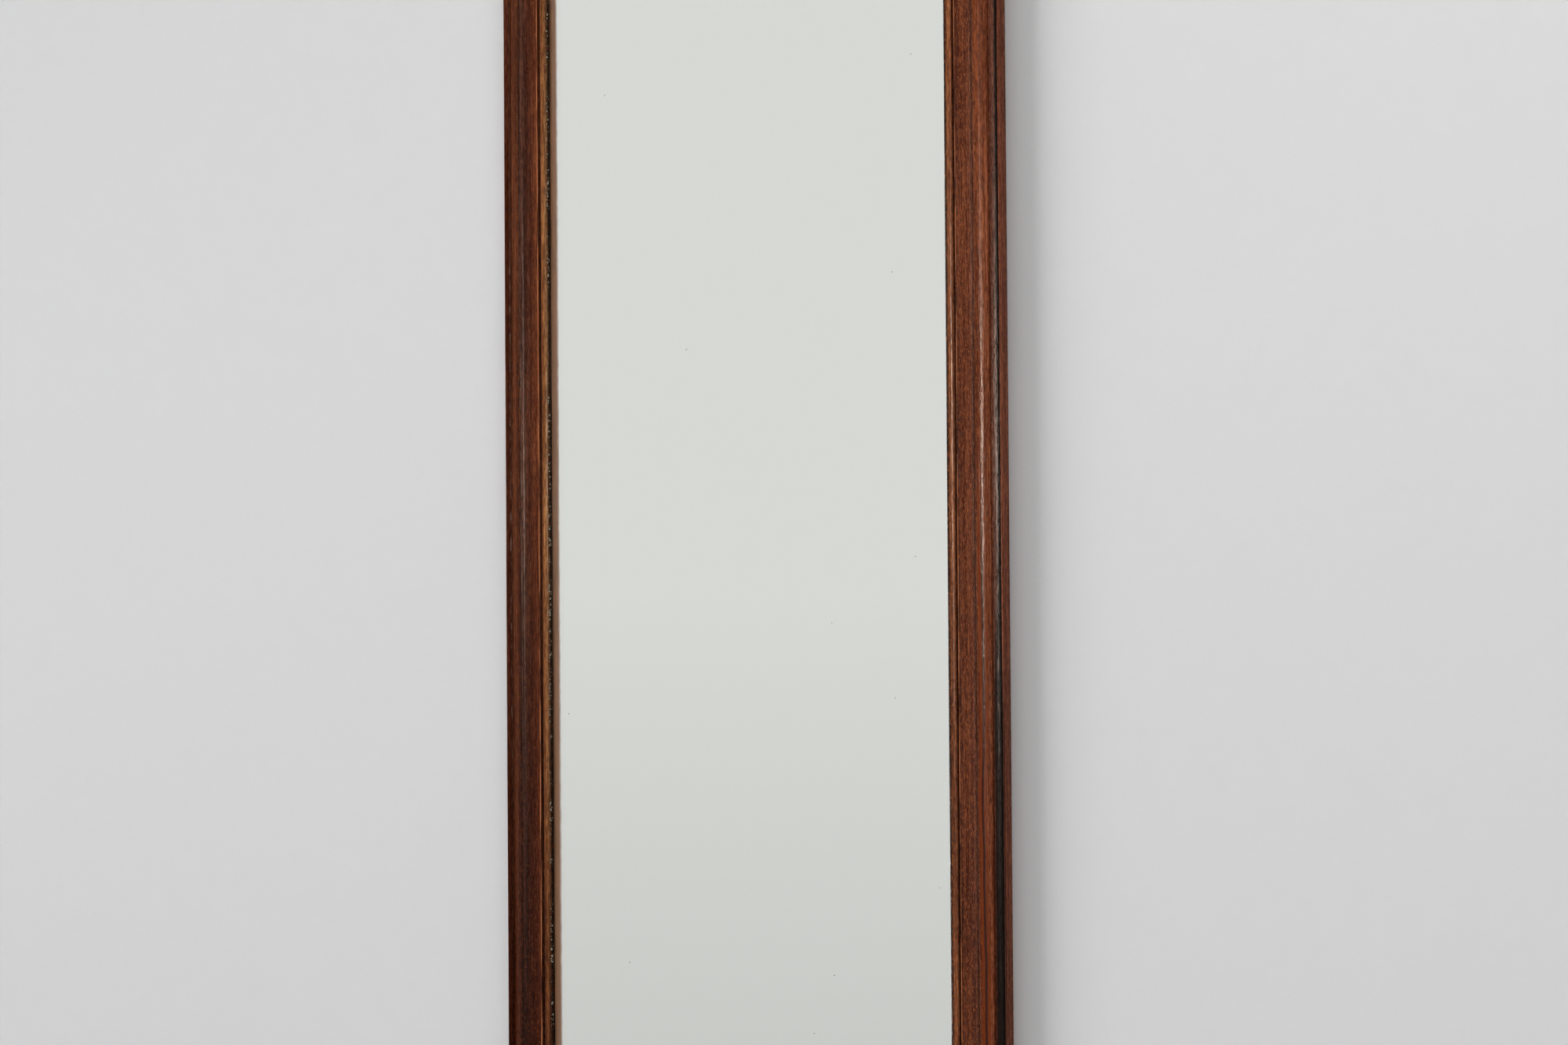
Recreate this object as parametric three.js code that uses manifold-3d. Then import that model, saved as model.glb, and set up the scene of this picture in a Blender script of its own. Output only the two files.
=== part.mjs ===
// Pier mirror: a tall narrow mirror in a moulded hardwood frame, screwed flat against a wall.
// Millimetres. +Z is up, the glass faces -Y and the wall is on the +Y side.
// The origin is on the frame's flat back, in the middle of the top rail.

import * as THREE from "three";
import { mergeVertices } from "three/addons/utils/BufferGeometryUtils.js";
import Module from "manifold-3d";

const wasm = await Module();
wasm.setup();

// ---------------------------------------------------------------- driving dimensions

const GAP = 0.3; // clearance between neighbouring pieces

const FRAME_WIDTH = 440; // across both stiles
const FRAME_HEIGHT = 1700; // across both rails
const MOULDING_WIDTH = 44; // outer edge to sight edge
const BACK_FLAT_WIDTH = 30; // the part of the back that touches the wall

// The moulding's section: u runs from the outer edge towards the glass, h from the wall forward.
const OUTER_ARRIS = { radius: 0.25, crest: 13.3 };
const OUTER_QUIRK = { u: 2.3, h: 9.0 };
const LOWER_COVE = { u: 8.4, h: 12.5, sink: 1.1 };
const BAND = { u: 8.6, h: 14.1, shoulderU: 11.4, shoulderH: 19.4, endU: 18.2, crest: 20.2 };
const FILLET_GROOVE = { u: 19.4, h: 19.6 };
const FILLET = { u: 20.3, endU: 21.1, h: 20.6 };
const COVE = { u: 21.4, h: 20.2, endU: 34.9, endH: 18.6, sink: 2.2 };
const SIGHT_QUIRK = { u: 36.5, h: 16.2 };
const SIGHT_BEAD = { radius: 3.8, crest: 19.5 };

// The steps cut in the moulding's back, one for the plate and a wider one for the boards.
const PLATE_REBATE = { u: 36, h: 14.2 };
const BOARD_REBATE = { u: BACK_FLAT_WIDTH, h: 5.3 };

const PLATE_THICKNESS = 5.5;
const PLATE_EDGE_ROOM = 1.6; // between the plate's edge and the rebate's wall

const BOARD_COUNT = 5;
const BOARD_THICKNESS = 4;
const BOARD_LAP = 6;
const BOARD_EDGE_ROOM = 0.6;

const NAIL = { radius: 0.75, headRadius: 1.3, headThickness: 0.5, length: 11, inset: 33.2, fromEdge: 32 };

const KEY = { leg: 44, thickness: 2, h: 5.2 }; // the slip of hardwood across each mitre

const SLIP = { length: 42, width: 4, bevel: 1.5 }; // the softwood slips that hold the plate forward
const SETTING_BLOCK = { length: 40, depth: 5, spacing: 200 };

const WALL_PLATE = { width: 22, foot: 24, ear: 20, thickness: 1.6, holeRadius: 3.2, spacing: 280 };
const SCREW = { radius: 1.5, headRadius: 2.8, headDepth: 1.4, length: 9, slotWidth: 0.8, slotDepth: 0.7 };
const SCREW_DEPTHS = [8.5, 17.5]; // each wall plate's two screws, from the rail's outer edge

// ---------------------------------------------------------------- materials

const finish = (color, roughness, metalness = 0) => () =>
  new THREE.MeshStandardMaterial({ color, roughness, metalness, flatShading: true });
const hardwood = finish(0x6a3826, 0.35);
const softwood = finish(0xb58f62, 0.8);
const silveredGlass = finish(0xd3d7d3, 0.03, 1);
const brass = finish(0xa8874c, 0.4, 1);
const steel = finish(0x77736c, 0.5, 1);

// ---------------------------------------------------------------- placing and cutting

const model = new THREE.Group();
const cuts = new Map(); // each cut mesh and the hollows taken out of it

function piece(name, geometry, material, parent) {
  const mesh = new THREE.Mesh(geometry, material());
  mesh.name = name;
  parent.add(mesh);
  return mesh;
}

// A hollow placed in a group like a piece, but taken out of the targets instead of shown.
function hollow(geometry, parent, place, targets) {
  const mesh = new THREE.Mesh(geometry);
  mesh.position.copy(place);
  parent.add(mesh);
  mesh.updateWorldMatrix(true, false);
  parent.remove(mesh);
  for (const target of targets) cuts.set(target, [...(cuts.get(target) ?? []), mesh]);
  return mesh;
}

function solidIn(frame, mesh) {
  const geometry = mesh.geometry.clone();
  geometry.deleteAttribute("normal");
  geometry.deleteAttribute("uv");
  geometry.applyMatrix4(frame.matrixWorld.clone().invert().multiply(mesh.matrixWorld));
  const merged = mergeVertices(geometry, 1e-4);
  return new wasm.Manifold(
    new wasm.Mesh({
      numProp: 3,
      vertProperties: merged.attributes.position.array,
      triVerts: new Uint32Array(merged.index.array),
    }),
  );
}

function carve(mesh, hollows) {
  mesh.updateWorldMatrix(true, false);
  let solid = solidIn(mesh, mesh);
  for (const each of hollows) solid = solid.subtract(solidIn(mesh, each));
  const { vertProperties, triVerts } = solid.getMesh();
  const geometry = new THREE.BufferGeometry();
  geometry.setAttribute("position", new THREE.BufferAttribute(vertProperties, 3));
  geometry.setIndex(new THREE.BufferAttribute(triVerts, 1));
  mesh.geometry = geometry;
}

// A flat shape in X and Z, as thick as asked from its place towards the front.
function plateGeometry(shape, thickness) {
  const geometry = new THREE.ExtrudeGeometry(shape, {
    depth: thickness,
    bevelEnabled: false,
    curveSegments: 12,
  });
  return geometry.rotateX(Math.PI / 2);
}

function polygon(points) {
  return new THREE.Shape(points.map(([x, y]) => new THREE.Vector2(x, y)));
}

// ---------------------------------------------------------------- the frame

const HALF_WIDTH = FRAME_WIDTH / 2;
const HALF_HEIGHT = FRAME_HEIGHT / 2;
const CENTRE_Z = BACK_FLAT_WIDTH / 2 - HALF_HEIGHT; // below the origin

const frame = new THREE.Group();
frame.position.z = CENTRE_Z;
model.add(frame);

function mouldingSection() {
  const section = new THREE.Shape();
  const arris = OUTER_ARRIS;
  section.moveTo(0, 0);
  section.lineTo(0, arris.crest - arris.radius);
  section.absarc(arris.radius, arris.crest - arris.radius, arris.radius, Math.PI, 0, true);
  section.lineTo(OUTER_QUIRK.u, OUTER_QUIRK.h);
  section.quadraticCurveTo(
    (OUTER_QUIRK.u + LOWER_COVE.u) / 2,
    (OUTER_QUIRK.h + LOWER_COVE.h) / 2 - LOWER_COVE.sink,
    LOWER_COVE.u,
    LOWER_COVE.h,
  );
  section.lineTo(BAND.u, BAND.h);
  section.quadraticCurveTo(BAND.shoulderU, BAND.shoulderH, BAND.endU, BAND.crest);
  section.lineTo(FILLET_GROOVE.u, FILLET_GROOVE.h);
  section.lineTo(FILLET.u, FILLET.h);
  section.lineTo(FILLET.endU, FILLET.h);
  section.lineTo(COVE.u, COVE.h);
  section.quadraticCurveTo(
    (COVE.u + COVE.endU) / 2,
    (COVE.h + COVE.endH) / 2 - COVE.sink,
    COVE.endU,
    COVE.endH,
  );
  section.lineTo(SIGHT_QUIRK.u, SIGHT_QUIRK.h);
  const centreU = MOULDING_WIDTH - SIGHT_BEAD.radius;
  const centreH = SIGHT_BEAD.crest - SIGHT_BEAD.radius;
  const start = Math.atan2(SIGHT_QUIRK.h - centreH, SIGHT_QUIRK.u - centreU);
  section.absarc(centreU, centreH, SIGHT_BEAD.radius, start, 0, true);
  section.lineTo(MOULDING_WIDTH, PLATE_REBATE.h);
  section.lineTo(PLATE_REBATE.u, PLATE_REBATE.h);
  section.lineTo(PLATE_REBATE.u, BOARD_REBATE.h);
  section.lineTo(BOARD_REBATE.u, BOARD_REBATE.h);
  section.lineTo(BOARD_REBATE.u, 0);
  section.closePath();
  return section;
}

// A length of moulding whose ends are mitred: every line of it is shorter by its own u at each end.
function mitredMoulding(outerLength) {
  const geometry = new THREE.ExtrudeGeometry(mouldingSection(), {
    depth: 1,
    bevelEnabled: false,
    curveSegments: 8,
  });
  const place = geometry.attributes.position;
  const mitreGap = (GAP / 2) * Math.SQRT2;
  for (let i = 0; i < place.count; i += 1) {
    const half = outerLength / 2 - place.getX(i) - mitreGap;
    place.setZ(i, place.getZ(i) < 0.5 ? -half : half);
  }
  return geometry;
}

// One member on each side, turned round the frame's centre so that u runs inward and h forward.
function frameMember(name, quarterTurns, distance, outerLength) {
  const side = new THREE.Group();
  side.rotation.y = (quarterTurns * Math.PI) / 2;
  frame.add(side);
  const member = piece(name, mitredMoulding(outerLength), hardwood, side);
  member.position.x = -distance;
  member.rotation.x = Math.PI;
  return member;
}

const stileLeft = frameMember("stile_left", 0, HALF_WIDTH, FRAME_HEIGHT);
const railTop = frameMember("rail_top", 1, HALF_HEIGHT, FRAME_WIDTH);
const stileRight = frameMember("stile_right", 2, HALF_WIDTH, FRAME_HEIGHT);
const railBottom = frameMember("rail_bottom", 3, HALF_HEIGHT, FRAME_WIDTH);

// A key lies in a saw cut across each mitre, flush with the frame's outer sides.
const corners = [
  ["mitre_key_bottom_left", -1, -1, [stileLeft, railBottom]],
  ["mitre_key_top_left", -1, 1, [stileLeft, railTop]],
  ["mitre_key_top_right", 1, 1, [stileRight, railTop]],
  ["mitre_key_bottom_right", 1, -1, [stileRight, railBottom]],
];
corners.forEach(([name, sideX, sideZ, members], quarterTurns) => {
  const corner = new THREE.Group();
  corner.position.set(sideX * HALF_WIDTH, 0, sideZ * HALF_HEIGHT);
  corner.rotation.y = (quarterTurns * Math.PI) / 2;
  frame.add(corner);
  const triangle = (leg, outside) =>
    polygon([
      [-outside, -outside],
      [leg + outside, -outside],
      [-outside, leg + outside],
    ]);
  const key = piece(name, plateGeometry(triangle(KEY.leg, 0), KEY.thickness), hardwood, corner);
  key.position.y = -KEY.h;
  hollow(
    plateGeometry(triangle(KEY.leg + 2 * GAP, 1), KEY.thickness + 2 * GAP),
    corner,
    new THREE.Vector3(0, GAP - KEY.h, 0),
    members,
  );
});

// ---------------------------------------------------------------- the mirror plate and what holds it

const PLATE_FRONT = PLATE_REBATE.h - GAP;
const PLATE_BACK = PLATE_FRONT - PLATE_THICKNESS;
const REBATE_HALF_WIDTH = HALF_WIDTH - PLATE_REBATE.u;
const REBATE_HALF_HEIGHT = HALF_HEIGHT - PLATE_REBATE.u;

const plate = piece(
  "mirror_plate",
  new THREE.BoxGeometry(
    2 * (REBATE_HALF_WIDTH - PLATE_EDGE_ROOM),
    PLATE_THICKNESS,
    2 * (REBATE_HALF_HEIGHT - PLATE_EDGE_ROOM),
  ),
  silveredGlass,
  frame,
);
plate.position.y = -(PLATE_FRONT + PLATE_BACK) / 2;

// The plate stands on two thin blocks in the bottom rail's rebate.
const blockHeight = PLATE_EDGE_ROOM - 2 * GAP;
for (const [end, side] of [["left", -1], ["right", 1]]) {
  const block = piece(
    `setting_block_${end}`,
    new THREE.BoxGeometry(SETTING_BLOCK.length, SETTING_BLOCK.depth, blockHeight),
    softwood,
    frame,
  );
  block.position.set(
    (side * SETTING_BLOCK.spacing) / 2,
    -(PLATE_FRONT + PLATE_BACK) / 2,
    -REBATE_HALF_HEIGHT + GAP + blockHeight / 2,
  );
}

// Slips are glued to the rebate's walls behind the plate, each with its inner edge bevelled.
const slipBack = BOARD_REBATE.h;
const slipFront = PLATE_BACK - GAP;
const slipSection = polygon([
  [GAP, slipBack],
  [SLIP.width + GAP - SLIP.bevel, slipBack],
  [SLIP.width + GAP, slipFront],
  [GAP, slipFront],
]);
const slips = [
  ["slip_left_low", 0, REBATE_HALF_WIDTH, FRAME_HEIGHT * 0.33],
  ["slip_left_middle", 0, REBATE_HALF_WIDTH, 0],
  ["slip_left_high", 0, REBATE_HALF_WIDTH, -FRAME_HEIGHT * 0.33],
  ["slip_top", 1, REBATE_HALF_HEIGHT, 0],
  ["slip_right_low", 2, REBATE_HALF_WIDTH, -FRAME_HEIGHT * 0.33],
  ["slip_right_middle", 2, REBATE_HALF_WIDTH, 0],
  ["slip_right_high", 2, REBATE_HALF_WIDTH, FRAME_HEIGHT * 0.33],
  ["slip_bottom", 3, REBATE_HALF_HEIGHT, 0],
];
for (const [name, quarterTurns, distance, along] of slips) {
  const side = new THREE.Group();
  side.rotation.y = (quarterTurns * Math.PI) / 2;
  frame.add(side);
  const geometry = new THREE.ExtrudeGeometry(slipSection, { depth: SLIP.length, bevelEnabled: false });
  const slip = piece(name, geometry.translate(0, 0, along - SLIP.length / 2), softwood, side);
  slip.position.x = -distance;
  slip.rotation.x = Math.PI;
}

// ---------------------------------------------------------------- the backboards and their nails

const BOARD_BACK = BOARD_REBATE.h - GAP - BOARD_THICKNESS;
const BOARD_HALF_LENGTH = HALF_WIDTH - BOARD_REBATE.u - BOARD_EDGE_ROOM;
const BOARDS_HALF_HEIGHT = HALF_HEIGHT - BOARD_REBATE.u - BOARD_EDGE_ROOM;
const BOARD_PITCH = (2 * BOARDS_HALF_HEIGHT) / BOARD_COUNT;

// Half laps: a board's front half laps up behind the glass, its back half laps down over the next board.
function boardGeometry(isLowest, isHighest) {
  const halfThickness = (BOARD_THICKNESS - GAP) / 2;
  const low = isLowest ? 0 : BOARD_LAP + GAP;
  const high = isHighest ? BOARD_PITCH : BOARD_PITCH + BOARD_LAP;
  const shoulder = isHighest ? BOARD_PITCH : BOARD_PITCH - GAP;
  const section = polygon([
    [0, 0],
    [0, isLowest ? BOARD_THICKNESS : halfThickness],
    [low, isLowest ? BOARD_THICKNESS : halfThickness],
    [low, BOARD_THICKNESS],
    [high, BOARD_THICKNESS],
    [high, isHighest ? 0 : BOARD_THICKNESS - halfThickness],
    [shoulder, isHighest ? 0 : BOARD_THICKNESS - halfThickness],
    [shoulder, 0],
  ].filter(([z, h], i, all) => i === 0 || z !== all[i - 1][0] || h !== all[i - 1][1]));
  const geometry = new THREE.ExtrudeGeometry(section, {
    depth: 2 * BOARD_HALF_LENGTH,
    bevelEnabled: false,
  });
  geometry.translate(0, 0, -BOARD_HALF_LENGTH);
  const [up, forward, across] = [[0, 0, 1], [0, -1, 0], [1, 0, 0]].map((v) => new THREE.Vector3(...v));
  return geometry.applyMatrix4(new THREE.Matrix4().makeBasis(up, forward, across));
}

function nailGeometry() {
  const shankEnd = -NAIL.length;
  const profile = [
    [0, shankEnd],
    [NAIL.radius, shankEnd],
    [NAIL.radius, -NAIL.headThickness],
    [NAIL.headRadius, -NAIL.headThickness],
    [NAIL.headRadius, 0],
    [0, 0],
  ];
  return new THREE.LatheGeometry(
    profile.map(([x, y]) => new THREE.Vector2(x, y)),
    12,
  );
}

for (let i = 0; i < BOARD_COUNT; i += 1) {
  const place = new THREE.Group();
  place.position.set(0, -BOARD_BACK, i * BOARD_PITCH - BOARDS_HALF_HEIGHT);
  frame.add(place);
  const board = piece(
    `backboard_${i + 1}`,
    boardGeometry(i === 0, i === BOARD_COUNT - 1),
    softwood,
    place,
  );
  const nailSpots = [
    ["left_low", -1, stileLeft, NAIL.fromEdge],
    ["left_high", -1, stileLeft, BOARD_PITCH - NAIL.fromEdge],
    ["right_low", 1, stileRight, NAIL.fromEdge],
    ["right_high", 1, stileRight, BOARD_PITCH - NAIL.fromEdge],
  ];
  for (const [spot, side, stile, height] of nailSpots) {
    const nail = piece(`board_${i + 1}_nail_${spot}`, nailGeometry(), steel, place);
    nail.position.set(side * (HALF_WIDTH - NAIL.inset), GAP + NAIL.headThickness, height);
    const depth = NAIL.length + GAP;
    hollow(
      new THREE.CylinderGeometry(NAIL.radius + GAP, NAIL.radius + GAP, depth, 12),
      place,
      nail.position.clone().setY(nail.position.y - depth / 2),
      [board, stile],
    );
  }
}

// ---------------------------------------------------------------- the wall plates and their screws

function wallPlateShape() {
  const shape = new THREE.Shape();
  const half = WALL_PLATE.width / 2;
  const shoulder = WALL_PLATE.ear - half;
  shape.moveTo(-half, -WALL_PLATE.foot);
  shape.lineTo(half, -WALL_PLATE.foot);
  shape.lineTo(half, shoulder);
  shape.absarc(0, shoulder, half, 0, Math.PI, false);
  shape.closePath();
  return shape;
}

function screwGeometry() {
  const profile = [
    [0, -SCREW.length],
    [SCREW.radius * 0.3, -SCREW.length],
    [SCREW.radius, 2.5 - SCREW.length],
    [SCREW.radius, -SCREW.headDepth],
    [SCREW.headRadius, 0],
    [0, 0],
  ];
  return new THREE.LatheGeometry(
    profile.map(([x, y]) => new THREE.Vector2(x, y)),
    16,
  );
}

const wallPlates = [
  ["top_left", -1, 1, railTop],
  ["top_right", 1, 1, railTop],
  ["bottom_left", -1, -1, railBottom],
  ["bottom_right", 1, -1, railBottom],
];
for (const [end, sideX, sideZ, rail] of wallPlates) {
  const place = new THREE.Group();
  place.position.set((sideX * WALL_PLATE.spacing) / 2, -GAP, sideZ * HALF_HEIGHT);
  place.rotation.y = sideZ > 0 ? 0 : Math.PI;
  frame.add(place);
  const wallPlate = piece(
    `wall_plate_${end}`,
    plateGeometry(wallPlateShape(), WALL_PLATE.thickness),
    brass,
    place,
  );
  const holeRadius = WALL_PLATE.holeRadius;
  hollow(
    new THREE.CylinderGeometry(holeRadius, holeRadius, 3 * WALL_PLATE.thickness, 24),
    place,
    new THREE.Vector3(0, 0, WALL_PLATE.ear - WALL_PLATE.width / 2),
    [wallPlate],
  );
  const letIn = WALL_PLATE.thickness + GAP;
  hollow(
    new THREE.BoxGeometry(WALL_PLATE.width + 2 * GAP, 2 * letIn, WALL_PLATE.foot + GAP + 2),
    place,
    new THREE.Vector3(0, 0, 1 - (WALL_PLATE.foot + GAP) / 2),
    [rail],
  );
  SCREW_DEPTHS.forEach((depth, i) => {
    const screw = piece(`wall_plate_screw_${end}_${i + 1}`, screwGeometry(), steel, place);
    screw.position.set(0, 0, -depth);
    hollow(
      new THREE.BoxGeometry(2 * SCREW.headRadius + 1, 2 * SCREW.slotDepth, SCREW.slotWidth),
      place,
      screw.position,
      [screw],
    );
    const sink = SCREW.headDepth + GAP;
    hollow(
      new THREE.CylinderGeometry(SCREW.headRadius + GAP, SCREW.radius + GAP, sink, 16),
      place,
      new THREE.Vector3(0, -sink / 2 + GAP, -depth),
      [wallPlate],
    );
    const shankHole = SCREW.length + GAP;
    hollow(
      new THREE.CylinderGeometry(SCREW.radius + GAP, SCREW.radius + GAP, shankHole, 16),
      place,
      new THREE.Vector3(0, -shankHole / 2, -depth),
      [wallPlate, rail],
    );
  });
}

for (const [mesh, hollows] of cuts) carve(mesh, hollows);

export default model;
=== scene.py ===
import math

import bmesh
import bpy
import numpy as np
from mathutils import Matrix, Vector


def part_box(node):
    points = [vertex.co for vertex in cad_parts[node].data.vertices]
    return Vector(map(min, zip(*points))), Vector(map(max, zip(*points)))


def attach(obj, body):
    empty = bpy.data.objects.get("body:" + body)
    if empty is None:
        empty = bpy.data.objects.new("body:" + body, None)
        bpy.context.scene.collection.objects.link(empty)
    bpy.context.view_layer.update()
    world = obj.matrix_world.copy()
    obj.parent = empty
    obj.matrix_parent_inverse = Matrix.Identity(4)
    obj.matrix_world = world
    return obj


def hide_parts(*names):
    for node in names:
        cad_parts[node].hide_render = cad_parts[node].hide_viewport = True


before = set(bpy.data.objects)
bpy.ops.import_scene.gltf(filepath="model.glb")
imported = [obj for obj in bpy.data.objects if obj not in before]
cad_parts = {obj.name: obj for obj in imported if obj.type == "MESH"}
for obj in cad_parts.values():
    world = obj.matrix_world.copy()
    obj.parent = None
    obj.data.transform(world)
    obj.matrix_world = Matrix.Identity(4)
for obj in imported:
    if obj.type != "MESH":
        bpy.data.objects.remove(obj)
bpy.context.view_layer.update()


# ---------------------------------------------------------------- the four lengths of moulding
# A reddish-brown, open-grained hardwood, run to one section: a sharp outer arris, a lower cove, a
# rounded band, a fillet, a wide cove and a bead at the sight edge. It is cut to mitres, polished at
# the front, left bare at the back, and painted black where the plate would show its inner face.


def bend(start, crown, end, steps):
    """Points of a hollow or round from start to end that leans towards crown, without the start."""
    found = []
    for step in range(1, steps + 1):
        t = step / steps
        a, b, c = (1 - t) ** 2, 2 * t * (1 - t), t * t
        found.append(tuple(a * s + b * m + c * e for s, m, e in zip(start, crown, end)))
    return found


def bead(centre, radius, first, last, steps):
    """Points round a bead between two angles in degrees, both kept."""
    angles = np.radians(np.linspace(first, last, steps + 1))
    return [(centre[0] + radius * math.cos(a), centre[1] + radius * math.sin(a)) for a in angles]


# Millimetres across from the outer edge and forward from the back.
BEAD, BEAD_RADIUS, QUIRK_END = (40.4, 15.7), 4.0, (36.5, 16.2)
bead_start = math.degrees(math.atan2(QUIRK_END[1] - BEAD[1], QUIRK_END[0] - BEAD[0]))
SECTION = [
    ("back", [(29.95, 0.0), (0.3, 0.0)]),
    ("side", [(0.1, 0.2), (0.1, 13.0)]),
    ("outer arris", bead((0.32, 13.05), 0.22, 168, 20, 4)),
    ("outer flank", [(1.3, 11.05), (2.15, 9.3)]),
    ("outer quirk", [(2.35, 9.05), (2.6, 9.1)]),
    ("lower cove", bend((2.6, 9.1), (5.4, 9.7), (8.4, 12.5), 7)),
    ("step", [(8.55, 13.9)]),
    ("band", bend((8.6, 14.1), (11.4, 19.4), (18.1, 20.2), 14)),
    ("groove", [(18.4, 20.1), (19.2, 19.65), (19.6, 19.75)]),
    ("fillet", [(20.15, 20.5), (20.35, 20.6), (21.05, 20.6)]),
    ("cove", [(21.4, 20.2)] + bend((21.4, 20.2), (28.15, 17.2), (34.9, 18.6), 14)),
    ("sight quirk", [(35.1, 18.35), (36.35, 16.4)]),
    ("sight bead", bead(BEAD, BEAD_RADIUS, bead_start, 0, 16)),
    ("sight edge", [(44.4, 15.0), (44.4, 14.2)]),
    ("rebates", [(36.0, 14.2), (36.0, 5.3), (30.0, 5.3), (30.0, 0.05)]),
]
MM_PER_METRE = 1000
outline = [Vector((u, h, 0)) / MM_PER_METRE for _, points in SECTION for u, h in points]
walked = [0.0]
for here, there in zip(outline, outline[1:]):
    walked.append(walked[-1] + (there - here).length)
WHOLE_WALK = walked[-1]
# Where each member starts and ends on the walk round the section, as shares of the whole walk.
SPANS, count = {}, 0
for name, points in SECTION:
    first = max(count - 1, 0)
    count += len(points)
    SPANS[name] = (walked[first] / WHOLE_WALK, walked[count - 1] / WHOLE_WALK)


def lay(tree, kind, inputs=None, **settings):
    """One node with its settings; an input is a value or another node's output."""
    node = tree.nodes.new(kind)
    for name, value in settings.items():
        setattr(node, name, value)
    for key, value in (inputs or {}).items():
        if isinstance(value, bpy.types.NodeSocket):
            tree.links.new(value, node.inputs[key])
        else:
            node.inputs[key].default_value = value
    return node


def sums(tree, operation, a, b=0.0, c=0.0):
    """One step of arithmetic, in a material or in a geometry tree."""
    return lay(tree, "ShaderNodeMath", {0: a, 1: b, 2: c}, operation=operation).outputs[0]


def times(tree, first, *others):
    """The product of two or more values."""
    for other in others:
        first = sums(tree, "MULTIPLY", first, other)
    return first


def less(tree, value, taken):
    """A value less what is taken from it."""
    return sums(tree, "SUBTRACT", value, taken)


def vectors(tree, operation, a, b=(0, 0, 0), scale=1.0):
    """One step of arithmetic on places and directions."""
    second = {3: scale} if operation == "SCALE" else {1: b}
    return lay(tree, "ShaderNodeVectorMath", {0: a, **second}, operation=operation).outputs[0]


def apart(tree, place):
    """The three numbers of a place."""
    return lay(tree, "ShaderNodeSeparateXYZ", {0: place}).outputs


def noise(tree, place, scale, detail):
    """Even noise, with that many lumps to a metre."""
    inputs = {"Vector": place, "Scale": scale, "Detail": detail}
    return lay(tree, "ShaderNodeTexNoise", inputs).outputs[0]


def between(tree, value, low, high, at_low=0.0, at_high=1.0, how="SMOOTHSTEP"):
    """Value from low to high as at_low to at_high, and level outside."""
    inputs = {0: value, 1: low, 2: high, 3: at_low, 4: at_high}
    return lay(tree, "ShaderNodeMapRange", inputs, interpolation_type=how).outputs[0]


def tree_with(name, inputs, output):
    """A new geometry tree with named inputs for its sizes; gives the tree and those inputs."""
    tree = bpy.data.node_groups.new(name, "GeometryNodeTree")
    for label, kind, value in inputs:
        kind = "NodeSocket" + kind
        socket = tree.interface.new_socket(label, in_out="INPUT", socket_type=kind)
        if value is not None:
            socket.default_value = value
    tree.interface.new_socket(output, in_out="OUTPUT", socket_type="NodeSocketGeometry")
    return tree, tree.nodes.new("NodeGroupInput").outputs


def kept_on(tree, geometry, **values):
    """Keeps values on a geometry's points; gives the geometry and the values."""
    node = lay(tree, "GeometryNodeCaptureAttribute", {"Geometry": geometry}, domain="POINT")
    for name, (kind, _) in values.items():
        node.capture_items.new(kind, name)
    for name, (_, value) in values.items():
        tree.links.new(value, node.inputs[name])
    return node.outputs


def end_tree(tree, geometry, finish, output):
    """Makes copies real, gives them their finish and ends the tree."""
    loose = lay(tree, "GeometryNodeRealizeInstances", {"Geometry": geometry}).outputs[0]
    inputs = {"Geometry": loose, "Material": finish}
    lay(tree, "NodeGroupOutput", {output: lay(tree, "GeometryNodeSetMaterial", inputs).outputs[0]})


moulder, given = tree_with(
    "moulded_length",
    (
        ("Section", "Geometry", None),
        ("Outer Length", "Float", 1.7),
        ("Mitre Gap", "Float", 0.0001),
        ("Rings", "Int", 200),
        ("Corner", "Vector", (0, 0, 0)),
        ("Inward", "Vector", (1, 0, 0)),
        ("Forward", "Vector", (0, -1, 0)),
        ("Run", "Vector", (0, 0, 1)),
        ("Waver", "Float", 0.00035),
        ("Timber Shift", "Vector", (0, 0, 0)),
        ("Finish", "Material", None),
    ),
    "Length",
)
on_spline = moulder.nodes.new("GeometryNodeSplineParameter").outputs
section_kept = kept_on(
    moulder,
    given["Section"],
    Place=("VECTOR", moulder.nodes.new("GeometryNodeInputPosition").outputs[0]),
    Round=("FLOAT", on_spline["Length"]),
)
line = lay(moulder, "GeometryNodeCurvePrimitiveLine", {"Start": (0, 0, 0), "End": (0, 0, 1)})
inputs = {"Curve": line.outputs[0], "Count": given["Rings"]}
ringed = lay(moulder, "GeometryNodeResampleCurve", inputs)
line_kept = kept_on(moulder, ringed.outputs[0], Share=("FLOAT", on_spline["Factor"]))
inputs = {
    "Curve": line_kept["Geometry"],
    "Profile Curve": section_kept["Geometry"],
    "Fill Caps": True,
}
swept = lay(moulder, "GeometryNodeCurveToMesh", inputs)
# Each ring of points is laid from one mitre's slope to the other's.
across, forward = apart(moulder, section_kept["Place"])[:2]
cut_back = sums(moulder, "ADD", across, given["Mitre Gap"])
cut_length = less(moulder, given["Outer Length"], times(moulder, cut_back, 2.0))
along = sums(moulder, "MULTIPLY_ADD", line_kept["Share"], cut_length, cut_back)
run = lay(moulder, "ShaderNodeCombineXYZ", {2: along}).outputs[0]
timber = vectors(moulder, "ADD", run, given["Timber Shift"])
timber = vectors(moulder, "ADD", timber, section_kept["Place"])
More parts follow.
